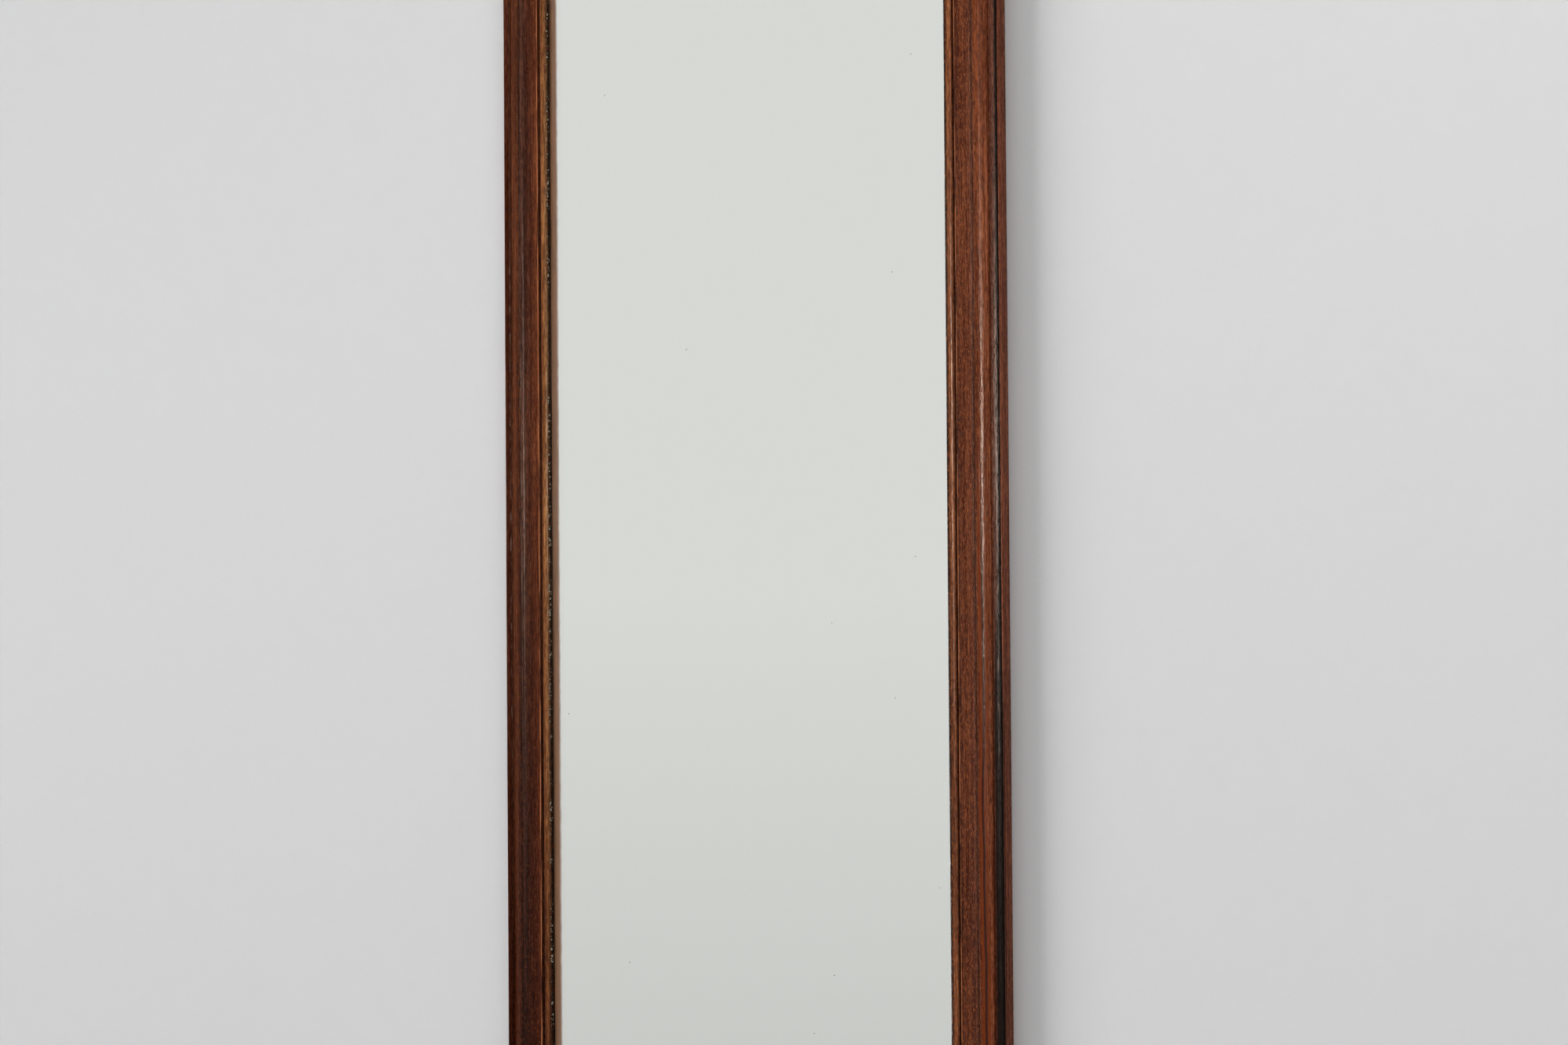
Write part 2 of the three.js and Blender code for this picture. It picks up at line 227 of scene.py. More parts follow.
# The plane and the scraper left the front members a little uneven along their length.
FLAT_SIDE, FRONT, LEAN_ENDS = 0.0095, 0.0125, 0.02
uneven = noise(moulder, timber, 9.0, 2.5)
worn = times(moulder, uneven, between(moulder, forward, FLAT_SIDE, FRONT), given["Waver"])
lifted = less(moulder, forward, worn)
lean = between(moulder, across, LEAN_ENDS, 0.0, at_low=-1.0)
moved = sums(moulder, "MULTIPLY_ADD", worn, lean, across)
place = vectors(moulder, "SCALE", given["Inward"], scale=moved)
for direction, amount in (("Forward", lifted), ("Run", along)):
    step = vectors(moulder, "SCALE", given[direction], scale=amount)
    place = vectors(moulder, "ADD", place, step)
place = vectors(moulder, "ADD", given["Corner"], place)
inputs = {"Geometry": swept.outputs[0], "Position": place}
geometry = lay(moulder, "GeometryNodeSetPosition", inputs).outputs[0]
for name, kind, value in (
    ("timber", "FLOAT_VECTOR", timber),
    ("round", "FLOAT", section_kept["Round"]),
):
    geometry = lay(
        moulder,
        "GeometryNodeStoreNamedAttribute",
        {"Geometry": geometry, "Name": name, "Value": value},
        data_type=kind,
        domain="POINT",
    ).outputs[0]
end_tree(moulder, geometry, given["Finish"], "Length")


def colour(red, green, blue):
    """A colour read off a paint card, 0 to 255, as the light that a surface gives back."""
    parts = (c / 255 for c in (red, green, blue))
    return (*(c / 12.92 if c <= 0.04045 else ((c + 0.055) / 1.055) ** 2.4 for c in parts), 1.0)


def material(name):
    """A new material with one Principled shader; gives the material, its tree and the shader."""
    made = bpy.data.materials.new(name)
    made.use_nodes = True
    tree = made.node_tree
    tree.nodes.clear()
    shader = tree.nodes.new("ShaderNodeBsdfPrincipled")
    lay(tree, "ShaderNodeOutputMaterial", {"Surface": shader.outputs[0]})
    return made, tree, shader


def on_object(tree):
    """A place in the object's own metres."""
    return lay(tree, "ShaderNodeTexCoord").outputs["Object"]


def grain(tree, place, width, length, shift=0.0, detail=2.0, along=2):
    """Noise drawn out along the timber: streaks of that width and length in metres."""
    scale = [1 / width] * 3
    scale[along] = 1 / length
    location = (shift, shift * 0.7, shift * 0.3)
    inputs = {"Vector": place, "Location": location, "Scale": scale}
    return noise(tree, lay(tree, "ShaderNodeMapping", inputs).outputs[0], 1.0, detail)


def tint(tree, share, first, second, how="MIX"):
    """Two colours mixed by a share."""
    inputs = {0: share, 6: first, 7: second}
    return lay(tree, "ShaderNodeMix", inputs, data_type="RGBA", blend_type=how).outputs[2]


def member_ramp(tree, round_share, tones):
    """A band that gives each member of the section its own colour, or several evenly across it."""
    margin, narrow = 0.12, 0.03
    stops = []
    for name, shades in tones.items():
        low, high = SPANS[name]
        room = (high - low) * margin
        if not isinstance(shades, list):
            shades = [shades] * (2 if high - low > narrow else 1)
        if len(shades) > 1:
            places = np.linspace(low + room, high - room, len(shades))
        else:
            places = [(low + high) / 2]
        stops += list(zip(places, shades))
    node = lay(tree, "ShaderNodeValToRGB", {0: round_share})
    band = node.color_ramp.elements
    while len(band) < len(stops):
        band.new(0.5)
    for element, (position, shade) in zip(band, stops):
        element.position, element.color = position, shade
    return node.outputs[0]


def relief_on(tree, shader, height, strength, depth, onto="Normal"):
    """Fine relief on a finish, from a height and the depth in metres that it stands for."""
    inputs = {"Height": height, "Strength": strength, "Distance": depth}
    tree.links.new(lay(tree, "ShaderNodeBump", inputs).outputs[0], shader.inputs[onto])


hardwood, tree, shader = material("polished_hardwood")
timber = lay(tree, "ShaderNodeAttribute", attribute_name="timber").outputs["Vector"]
walk = lay(tree, "ShaderNodeAttribute", attribute_name="round").outputs["Fac"]
height = apart(tree, on_object(tree))[2]
across_timber = apart(tree, timber)[0]
# The right stile comes from a lighter, redder board than the other three lengths; the tones below
# also paint each side's own light and shade.
RED_BOARD_ENDS, OTHER_BOARD_STARTS = 0.15, 0.20
other_board = between(tree, across_timber, RED_BOARD_ENDS, OTHER_BOARD_STARTS)
red_only = less(tree, 1.0, other_board)
# Dirt and polish creep over the members' edges, so no line between two of them is quite straight.
CREEP = 0.0009
creep = less(tree, grain(tree, timber, 0.02, 0.016, shift=3.1, detail=3.0), 0.5)
walk = sums(tree, "MULTIPLY_ADD", creep, CREEP, walk)
walk = sums(tree, "DIVIDE", walk, WHOLE_WALK)
bare, edge, soot = colour(92, 66, 48), colour(60, 46, 36), colour(11, 8, 6)
# These tones are wood and painted light together: faces turned to the light are lighter, the quirks
# are darkened as painted shade, and the arrises, fillets and the sight bead's round carry painted
# highlights and sheen, each board's set lit for its own side.
red_board_tones_and_light = member_ramp(
    tree,
    walk,
    {
        "back": bare,
        "side": [colour(132, 76, 54), colour(150, 84, 56)],
        "outer arris": colour(190, 112, 80),
        "outer flank": colour(110, 60, 42),
        "outer quirk": colour(16, 9, 7),
        "lower cove": [colour(70, 41, 32), colour(132, 78, 59), colour(128, 70, 48)],
        "step": colour(116, 62, 40),
        "band": [
            colour(180, 104, 70),
            colour(178, 102, 66),
            colour(170, 94, 58),
            colour(162, 82, 42),
            colour(140, 74, 42),
        ],
        "groove": colour(100, 60, 44),
        "fillet": colour(126, 78, 58),
        "cove": [colour(96, 51, 32), colour(113, 61, 34), colour(112, 61, 39)],
        "sight quirk": colour(54, 31, 25),
        "sight bead": [
            colour(98, 58, 42),
            colour(196, 122, 78),
            colour(170, 104, 63),
            colour(50, 30, 22),
            colour(14, 10, 8),
            soot,
        ],
        "sight edge": edge,
        "rebates": bare,
    },
)
dark_board_tones_and_light = member_ramp(
    tree,
    walk,
    {
        "back": bare,
        "side": [colour(98, 50, 36), colour(100, 50, 36)],
        "outer arris": colour(140, 80, 60),
        "outer flank": colour(146, 86, 64),
        "outer quirk": colour(132, 90, 70),
        "lower cove": [colour(134, 82, 62), colour(138, 84, 62), colour(130, 80, 56)],
        "step": colour(128, 76, 52),
        "band": [
            colour(118, 68, 42),
            colour(88, 44, 24),
            colour(98, 50, 25),
            colour(98, 51, 26),
            colour(96, 52, 30),
        ],
        "groove": colour(84, 46, 32),
        "fillet": colour(104, 62, 48),
        "cove": [colour(106, 62, 47), colour(112, 61, 40), colour(118, 63, 37)],
        "sight quirk": colour(104, 64, 44),
        "sight bead": [
            colour(92, 58, 38),
            colour(112, 70, 44),
            colour(140, 88, 54),
            colour(208, 144, 90),
            colour(150, 106, 66),
            soot,
        ],
        "sight edge": edge,
        "rebates": bare,
    },
)
shade = tint(tree, other_board, red_board_tones_and_light, dark_board_tones_and_light)
# Both boards darken towards the foot, the darker one most.
foot_share = between(tree, height, -0.72, -1.25)
foot_share = times(tree, foot_share, sums(tree, "MULTIPLY_ADD", other_board, 0.62, 0.38))
shade = tint(tree, foot_share, shade, colour(178, 158, 148), "MULTIPLY")
# The figure below darkens the wood and reddens it a little, so both boards start lighter and
# browner.
lift = tint(tree, other_board, (1.34, 1.41, 1.44, 1.0), (1.19, 1.24, 1.16, 1.0))
shade = tint(tree, 1.0, shade, lift, "MULTIPLY")
broad = between(tree, grain(tree, timber, 0.0030, 0.16, detail=3.0), 0.34, 0.66)
fine = between(tree, grain(tree, timber, 0.0006, 0.030, shift=1.7, detail=3.0), 0.36, 0.64)
mottle = between(tree, grain(tree, timber, 0.0011, 0.007, shift=12.3), 0.36, 0.64)
pores = between(tree, grain(tree, timber, 0.0005, 0.006, shift=5.3, detail=1.0), 0.60, 0.70)
flecks = between(tree, grain(tree, timber, 0.0007, 0.0028, shift=9.1, detail=1.0), 0.56, 0.68)
for figure, strength, dark in (
    (broad, 1.0, colour(196, 182, 176)),
    (fine, 0.8, colour(186, 168, 160)),
    (mottle, 0.8, colour(176, 160, 152)),
):
    shade = tint(tree, times(tree, less(tree, 1.0, figure), strength), shade, dark, "MULTIPLY")
flecked = times(tree, flecks, sums(tree, "MULTIPLY_ADD", other_board, -0.24, 0.38))
shade = tint(tree, flecked, shade, colour(176, 98, 54))
shade = tint(tree, times(tree, pores, 0.75), shade, colour(40, 20, 14))


def along_member(name, share, reach):
    """A line that follows one member at a share of its width, 1 on it and 0 beyond its reach."""
    low, high = SPANS[name]
    off = sums(tree, "ABSOLUTE", less(tree, walk, low + (high - low) * share))
    return between(tree, off, reach / WHOLE_WALK, 0.2 * reach / WHOLE_WALK)


# The red board has vivid red wood along its band, with a dark vein that wanders through it.
VEIN_FROM_EDGE, VEIN_WANDERS = 0.0138, 0.0045
wander = less(tree, grain(tree, timber, 0.5, 0.11, shift=2.2, detail=3.0), 0.5)
wander = sums(tree, "MULTIPLY_ADD", wander, VEIN_WANDERS, VEIN_FROM_EDGE)
off_vein = sums(tree, "ABSOLUTE", less(tree, across_timber, wander))
veined = between(tree, height, -0.74, -0.90)
red = times(tree, between(tree, off_vein, 0.0036, 0.0018), veined)
shade = tint(tree, times(tree, red, 0.78), shade, colour(128, 52, 12))
vein = times(tree, between(tree, off_vein, 0.0013, 0.0004), veined)
shade = tint(tree, times(tree, vein, 0.9), shade, colour(44, 12, 6))
# Its outer quirk is painted near-black, partly old black polish and partly painted deep shade,
# which spreads either way towards the foot.
low_down = between(tree, height, -0.80, -1.02)
inner_end = between(tree, low_down, 0.0, 1.0, 0.0046, 0.0078)
outer_end = between(tree, low_down, 0.0, 1.0, 0.0016, 0.0001)
before_end = between(tree, less(tree, across_timber, inner_end), 0.0005, -0.0005)
after_start = between(tree, less(tree, across_timber, outer_end), -0.0003, 0.0002)
down_the_side = sums(tree, "MULTIPLY_ADD", low_down, 0.016, walk)
arris = SPANS["outer arris"][0]
in_front = between(tree, down_the_side, arris - 0.001, arris)
quirk_polish_and_shade = times(tree, before_end, after_start, in_front, red_only)
shade = tint(tree, times(tree, quirk_polish_and_shade, 0.94), shade, colour(16, 9, 7))
# Pale broken marks in the grooves and on the bead by the glass are partly dried wax and dust and
# partly painted glints of the polish, strongest around one height.
GLINT_LEVEL_BELOW = 0.80
broken = between(tree, grain(tree, timber, 0.0012, 0.011, shift=7.7, detail=3.0), 0.50, 0.62)
off_glint_height = sums(tree, "ABSOLUTE", sums(tree, "ADD", height, GLINT_LEVEL_BELOW))
near_glint_height = between(tree, off_glint_height, 0.26, 0.12)
red_cove_wax_and_glint = times(tree, along_member("lower cove", 0.42, 0.0010), red_only)
dark_quirk_wax_and_glint = times(tree, along_member("outer quirk", 0.75, 0.0007), other_board)
bead_wax_and_glint = times(tree, along_member("sight bead", 0.32, 0.0004), red_only)
wax_and_glints = sums(tree, "MAXIMUM", sums(tree, "MAXIMUM", red_cove_wax_and_glint, dark_quirk_wax_and_glint), bead_wax_and_glint)
wax_and_glints = times(tree, wax_and_glints, broken, near_glint_height)
shade = tint(tree, times(tree, wax_and_glints, 0.62), shade, colour(206, 176, 160))
# A thin orange highlight is painted along the cove's inner arris, in broken patches.
patches = between(tree, grain(tree, timber, 0.002, 0.05, shift=3.9), 0.40, 0.56)
painted_arris_highlight = times(tree, along_member("cove", 0.985, 0.0008), patches)
shade = tint(tree, times(tree, painted_arris_highlight, 0.75), shade, colour(186, 112, 70))
# Pale specks of dust lie on the sight bead, in some stretches and not in others.
inputs = {"Vector": timber, "Scale": 520.0, "Randomness": 1.0}
dust = lay(tree, "ShaderNodeTexVoronoi", inputs).outputs
kept = lay(tree, "ShaderNodeSeparateColor", {0: dust["Color"]}).outputs[0]
kept = between(tree, kept, 0.34, 0.38)
specks = times(tree, kept, between(tree, dust["Distance"], 0.46, 0.32))
stretches = between(tree, grain(tree, timber, 0.05, 0.03, shift=4.4, detail=1.0), 0.40, 0.50)
gathered = times(tree, specks, along_member("sight bead", 0.84, 0.0016), stretches)
shade = tint(tree, times(tree, gathered, 0.75), shade, colour(190, 184, 160))
tree.links.new(shade, shader.inputs["Base Color"])
rough = between(tree, fine, 0.0, 1.0, 0.27, 0.19)
rough = sums(tree, "MULTIPLY_ADD", pores, 0.2, rough)
rough = sums(tree, "MULTIPLY_ADD", sums(tree, "MAXIMUM", wax_and_glints, gathered), 0.3, rough)
tree.links.new(rough, shader.inputs["Roughness"])
shader.inputs["Specular IOR Level"].default_value = 0.04
# The coat is thin, and thinnest in the lower cove and over the blackened quirk.
dull = times(tree, along_member("lower cove", 0.45, 0.0048), 0.72)
dull = sums(tree, "MAXIMUM", dull, quirk_polish_and_shade)
coat = sums(tree, "MULTIPLY_ADD", other_board, -0.045, 0.075)
tree.links.new(times(tree, coat, less(tree, 1.0, dull)), shader.inputs["Coat Weight"])
shader.inputs["Coat Roughness"].default_value = 0.13
relief = less(tree, times(tree, fine, 0.4), pores)
relief_on(tree, shader, relief, 0.5, 0.00015)
ripple = times(tree, grain(tree, timber, 0.0012, 0.0035, shift=6.6), 1.4)
ripple = sums(tree, "ADD", relief, ripple)
relief_on(tree, shader, ripple, 0.35, 0.0002, onto="Coat Normal")


def put(name, data):
    """A new object at the origin."""
    found = bpy.data.objects.new(name, data)
    bpy.context.scene.collection.objects.link(found)
    return found


def plain(piece, *nodes, slot, smooth=None):
    """A finished piece rides with the frame and stands for its CAD nodes; its slot is not used."""
    if smooth is not None:
        piece.data.set_sharp_from_angle(angle=math.radians(smooth))
    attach(piece, "root")
    if nodes:
        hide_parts(*nodes)


def grown(tree, start, name, sizes):
    """Runs a geometry tree on an object and keeps what it makes as one plain mesh."""
    maker = start.modifiers.new("made", "NODES")
    maker.node_group = tree
    for item in tree.interface.items_tree:
        if item.item_type == "SOCKET" and item.in_out == "INPUT" and item.name in sizes:
            maker[item.identifier] = sizes[item.name]
    bpy.context.view_layer.update()
    evaluated = start.evaluated_get(bpy.context.evaluated_depsgraph_get())
    made = bpy.data.meshes.new_from_object(evaluated)
    bpy.data.objects.remove(start)
    made.name = name
    return put(name, made)


def section_curve():
    """The section as a closed curve, lying flat at the origin."""
    curve = bpy.data.curves.new("section", "CURVE")
    curve.dimensions = "3D"
    spline = curve.splines.new("POLY")
    spline.points.add(len(outline) - 1)
    for point, place in zip(spline.points, outline):
        point.co = (*place, 1)
    spline.use_cyclic_u = True
    return put("section", curve)


frame_low, frame_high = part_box("stile_left")[0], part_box("stile_right")[1]
left, right, foot, top = frame_low.x, frame_high.x, frame_low.z, frame_high.z
STILE_RINGS, RAIL_RINGS = 284, 74
for node, corner, inward, length, rings, shift in (
    ("stile_left", (left, 0, top), (1, 0, 0), top - foot, STILE_RINGS, (0.31, 0.12, 5.2)),
    ("stile_right", (right, 0, foot), (-1, 0, 0), top - foot, STILE_RINGS, (0.0, 0.0, 0.0)),
    ("rail_top", (right, 0, top), (0, 0, -1), right - left, RAIL_RINGS, (0.57, 0.41, 9.3)),
    ("rail_bottom", (left, 0, foot), (0, 0, 1), right - left, RAIL_RINGS, (0.83, 0.65, 13.1)),
):
    moulding = grown(
        moulder,
        section_curve(),
        "moulding_" + node,
        {
            "Outer Length": length,
            "Rings": rings,
            "Corner": corner,
            "Inward": inward,
            "Run": Vector(inward).cross((0, -1, 0)),
            "Timber Shift": shift,
            "Finish": hardwood,
        },
    )
    plain(moulding, node, slot="hardwood", smooth=38)


# ---------------------------------------------------------------- the mirror plate
# One plate of clear glass with a pale green cast, silvered on the back, its edges only ground. The
# silver has gone in small dark spots, more of them towards the right, and along the plate's edges.

SILVER_THICKNESS, GLASS_TO_SILVER, SIGHT_WIDTH = 0.00012, 0.00002, 0.044
plate_low, plate_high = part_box("mirror_plate")
silver_back = plate_high.y - SILVER_THICKNESS


def slab(name, low, high, ease):
    """A flat plate with eased edges."""
    mesh = bmesh.new()
    bmesh.ops.create_cube(mesh, size=1.0)
    for corner in mesh.verts:
        corner.co = [l if c < 0 else h for c, l, h in zip(corner.co, low, high)]
    edges = mesh.edges[:]
    bmesh.ops.bevel(mesh, geom=edges, offset=ease, segments=2, affect="EDGES", profile=0.5)
    made = bpy.data.meshes.new(name)
    mesh.to_mesh(made)
    mesh.free()
    return put(name, made)


clear, tree, shader = material("clear_plate_glass")
shader.inputs["Base Color"].default_value = (0.985, 0.994, 0.985, 1)
shader.inputs["Transmission Weight"].default_value = 1.0
shader.inputs["IOR"].default_value = 1.5
shader.inputs["Roughness"].default_value = 0.0
glass_high = (plate_high.x, silver_back - GLASS_TO_SILVER, plate_high.z)
glass = slab("plate_glass", plate_low, glass_high, 0.0005)
glass.data.materials.append(clear)
plain(glass, "mirror_plate", slot="mirror")

silver, tree, shader = material("old_silvering")
place = on_object(tree)
side, _, up = apart(tree, place)
flat = lay(tree, "ShaderNodeCombineXYZ", {0: side, 1: up}).outputs[0]
inputs = {"Vector": flat, "Scale": 55.0, "Randomness": 1.0}
spots = lay(tree, "ShaderNodeTexVoronoi", inputs, voronoi_dimensions="2D").outputs
few = lay(tree, "ShaderNodeSeparateColor", {0: spots["Color"]}).outputs[0]
few = sums(tree, "ADD", few, between(tree, side, 0.02, 0.17, at_high=0.03))
few = between(tree, few, 0.984, 0.988)
spot = times(tree, between(tree, spots["Distance"], 0.030, 0.014), few)
cloud = noise(tree, place, 3.0, 3.0)
shade = tint(tree, cloud, (0.93, 0.935, 0.91, 1), (0.95, 0.945, 0.925, 1))
# Damp has taken the silver off along the edges, mostly behind the frame's lip.
middle = (plate_low + plate_high) / 2
middle.x += 0.0009
half_wide = (frame_high - frame_low).x / 2 - SIGHT_WIDTH
half_high = (frame_high - frame_low).z / 2 - SIGHT_WIDTH
from_middle = vectors(tree, "ABSOLUTE", vectors(tree, "SUBTRACT", place, middle))
out_side, _, out_up = apart(tree, from_middle)
inside = sums(tree, "MINIMUM", less(tree, half_wide, out_side), less(tree, half_high, out_up))
ragged = sums(tree, "MULTIPLY_ADD", noise(tree, place, 180.0, 3.0), 0.0012, inside)
lost = between(tree, ragged, 0.0050, 0.0024)
shade = tint(tree, lost, shade, colour(142, 104, 76))
shade = tint(tree, times(tree, spot, 0.9), shade, (0.05, 0.05, 0.045, 1))
tree.links.new(shade, shader.inputs["Base Color"])
tree.links.new(less(tree, 1.0, lost), shader.inputs["Metallic"])
rough = times(tree, sums(tree, "MAXIMUM", spot, lost), 0.6)
tree.links.new(sums(tree, "ADD", rough, 0.004), shader.inputs["Roughness"])
film_low = (plate_low.x, silver_back, plate_low.z)
film = slab("plate_silvering", film_low, plate_high, 0.00003)
film.data.materials.append(silver)
plain(film, slot="mirror")


# ---------------------------------------------------------------- the keys across the mitres
# A thin slip of hardwood glued in a saw cut at each corner and planed flush, so that its end and
# side grain show as a darker line on the frame's outer sides.


def dressed(node, ease, finish, slot):
    """A CAD piece with its faces joined, its arrises eased and a finish of its own."""
    merge, shortest, flattest, least_angle = 0.00001, 0.0012, math.radians(1), math.radians(30)
    mesh = bmesh.new()
    mesh.from_mesh(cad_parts[node].data)
    bmesh.ops.remove_doubles(mesh, verts=mesh.verts[:], dist=merge)
    whole = {"verts": mesh.verts[:], "edges": mesh.edges[:]}
    bmesh.ops.dissolve_limit(mesh, angle_limit=flattest, **whole)
    arrises = [
        edge
        for edge in mesh.edges
        if edge.is_manifold
        and edge.calc_length() > shortest
        and edge.calc_face_angle() > least_angle
    ]
    eased = {"segments": 2, "affect": "EDGES", "profile": 0.5, "clamp_overlap": True}
    bmesh.ops.bevel(mesh, geom=arrises, offset=ease, **eased)
    made = bpy.data.meshes.new("dressed_" + node)
    mesh.to_mesh(made)
    mesh.free()
    made.materials.append(finish)
    plain(put("dressed_" + node, made), node, slot=slot, smooth=35)


def sawn_timber(name, early, late, along, ring, dirt, pitch=None):
    """Plain sawn wood: rings drawn out along one axis, saw marks across them, pores, old dirt."""
    made, tree, shader = material(name)
    place = on_object(tree)
    if pitch:
        number = sums(tree, "FLOOR", sums(tree, "DIVIDE", apart(tree, place)[2], pitch))
        moved = vectors(tree, "SCALE", (0.41, 0.0, 0.173), scale=number)
        place = vectors(tree, "ADD", place, moved)
    rings = grain(tree, place, ring, ring * 40, shift=2.3, detail=3.0, along=along)
    fibre = grain(tree, place, 0.0007, 0.02, shift=6.1, along=along)
    shade = tint(tree, between(tree, rings, 0.38, 0.62), early, late)
    soiled = noise(tree, place, 9.0, 4.0)
    for share, strength in (
        (between(tree, fibre, 0.56, 0.68), 0.45),
        (between(tree, soiled, 0.50, 0.74), 0.55),
    ):
        shade = tint(tree, times(tree, share, strength), shade, dirt)
    tree.links.new(shade, shader.inputs["Base Color"])
    tree.links.new(between(tree, fibre, 0.3, 0.7, 0.88, 0.66), shader.inputs["Roughness"])
    shader.inputs["Specular IOR Level"].default_value = 0.15
    inputs = {"Vector": place, "Scale": 95.0, "Distortion": 3.0, "Detail": 2.0}
    marks = lay(tree, "ShaderNodeTexWave", inputs, bands_direction="XYZ"[along]).outputs[1]
    relief_on(tree, shader, sums(tree, "MULTIPLY_ADD", marks, 0.35, fibre), 0.5, 0.00025)
    return made, tree, shader, place, shade


ALONG_X, ALONG_Z = 0, 2
CORNERS = ("top_left", "top_right", "bottom_left", "bottom_right")
key_wood = sawn_timber(
    "key_hardwood", colour(96, 58, 38), colour(66, 36, 24), ALONG_X, 0.0016, colour(30, 18, 12)
)[0]
for corner in CORNERS:
    dressed("mitre_key_" + corner, 0.00015, key_wood, "hardwood")


# ---------------------------------------------------------------- blocks and slips behind the plate
# Softwood offcuts: two blocks that the plate stands on and eight bevelled slips glued to the
# rebate's walls, yellowed, with a smear of brown glue.

slip_wood, tree, shader, place, shade = sawn_timber(
    "slip_softwood",
    colour(196, 160, 112),
    colour(168, 124, 78),
    ALONG_Z,
    0.0022,
    colour(104, 76, 50),
)
glue = between(tree, noise(tree, place, 120.0, 2.0), 0.60, 0.68)
shade = tint(tree, times(tree, glue, 0.6), shade, colour(92, 54, 24))
tree.links.new(shade, shader.inputs["Base Color"])
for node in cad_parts:
    if node.startswith(("slip_", "setting_block_")):
        dressed(node, 0.0003, slip_wood, "softwood")


# ---------------------------------------------------------------- the backboards
# Five thin pine boards across the back, half-lapped, sawn and left bare: browned by age, with
# knots, resin streaks and grey dust.

# Each board is another piece of the tree, so its place in the pile shifts its figure.
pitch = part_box("backboard_3")[0].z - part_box("backboard_2")[0].z
board_wood, tree, shader, place, shade = sawn_timber(
    "aged_pine",
    colour(176, 136, 92),
    colour(150, 104, 64),
    ALONG_X,
    0.0075,
    colour(92, 68, 48),
    pitch,
)
drawn = lay(tree, "ShaderNodeMapping", {"Vector": place, "Scale": (5.0, 0.0, 7.5)}).outputs[0]
knots = lay(tree, "ShaderNodeTexVoronoi", {"Vector": drawn, "Scale": 1.0}).outputs
rarely = lay(tree, "ShaderNodeSeparateColor", {0: knots["Color"]}).outputs[0]
rarely = between(tree, rarely, 0.52, 0.54)
eye = times(tree, between(tree, knots["Distance"], 0.055, 0.040), rarely)
halo = times(tree, between(tree, knots["Distance"], 0.14, 0.05), rarely)
turning = sums(tree, "MULTIPLY_ADD", noise(tree, place, 260.0, 3.0), 0.5, 0.55)
shade = tint(tree, times(tree, halo, 0.5), shade, colour(122, 72, 38))
shade = tint(tree, times(tree, eye, turning), shade, colour(62, 32, 18))
resin = between(tree, grain(tree, place, 0.004, 0.25, shift=8.8, along=ALONG_X), 0.64, 0.72)
shade = tint(tree, times(tree, resin, 0.5), shade, colour(146, 84, 34))
grey = between(tree, noise(tree, place, 34.0, 5.0), 0.48, 0.70)
shade = tint(tree, times(tree, grey, 0.4), shade, colour(132, 122, 110))
tree.links.new(shade, shader.inputs["Base Color"])
for number in range(1, 6):
    dressed(f"backboard_{number}", 0.0004, board_wood, "softwood")


# ---------------------------------------------------------------- the backboards' nails
# Twenty small cut nails with round heads, browned with rust: driven by hand, so each stands turned
# its own way.

driver, given = tree_with(
    "nails",
    (
        ("Spots", "Geometry", None),
        ("Head Radius", "Float", 0.00128),
        ("Head Thickness", "Float", 0.00048),
        ("Shank Radius", "Float", 0.00072),
        ("Length", "Float", 0.0109),
        ("Seed", "Int", 7),
        ("Finish", "Material", None),
    ),
    "Nails",
)


def barrel(tree, sides, foot_radius, top_radius, depth, shift):
    """A closed barrel along Z from shift upwards."""
    inputs = {
        "Vertices": sides,
        "Radius Top": top_radius,
        "Radius Bottom": foot_radius,
        "Depth": depth,
    }
    made = lay(tree, "GeometryNodeMeshCone", inputs).outputs["Mesh"]
    offset = lay(tree, "ShaderNodeCombineXYZ", {2: shift}).outputs[0]
    inputs = {"Geometry": made, "Translation": offset}
    return lay(tree, "GeometryNodeTransform", inputs).outputs[0]


def drive(tree, given, parts, most_turn, output):
    """Joins a fastener's parts, made standing on its head, and lays one at each spot along Y."""
    one = tree.nodes.new("GeometryNodeJoinGeometry")
    for part in parts:
        tree.links.new(part, one.inputs[0])
    head_to_wall = (math.pi / 2, 0.0, 0.0)
    inputs = {"Geometry": one.outputs[0], "Rotation": head_to_wall}
    laid = lay(tree, "GeometryNodeTransform", inputs).outputs[0]
    inputs = {"Min": (0.0, 0.0, 0.0), "Max": (0.0, most_turn, 0.0), "Seed": given["Seed"]}
    turn = lay(tree, "FunctionNodeRandomValue", inputs, data_type="FLOAT_VECTOR").outputs[0]
    inputs = {"Points": given["Spots"], "Instance": laid, "Rotation": turn}
    driven = lay(tree, "GeometryNodeInstanceOnPoints", inputs).outputs[0]
    end_tree(tree, driven, given["Finish"], output)


RIM, DOME, DOME_TOP, NAIL_TAPER, FULL_TURN = 0.55, 0.45, 0.80, 0.35, 6.283
head_radius, thickness = given["Head Radius"], given["Head Thickness"]
rim_depth, dome_depth = times(driver, thickness, RIM), times(driver, thickness, DOME)
rim = barrel(driver, 16, head_radius, head_radius, rim_depth, dome_depth)
dome_top = times(driver, head_radius, DOME_TOP)
dome = barrel(driver, 16, dome_top, head_radius, dome_depth, 0.0)
taper = times(driver, given["Shank Radius"], NAIL_TAPER)
shank_length = less(driver, given["Length"], thickness)
shank = barrel(driver, 8, given["Shank Radius"], taper, shank_length, thickness)
drive(driver, given, (rim, dome, shank), FULL_TURN, "Nails")

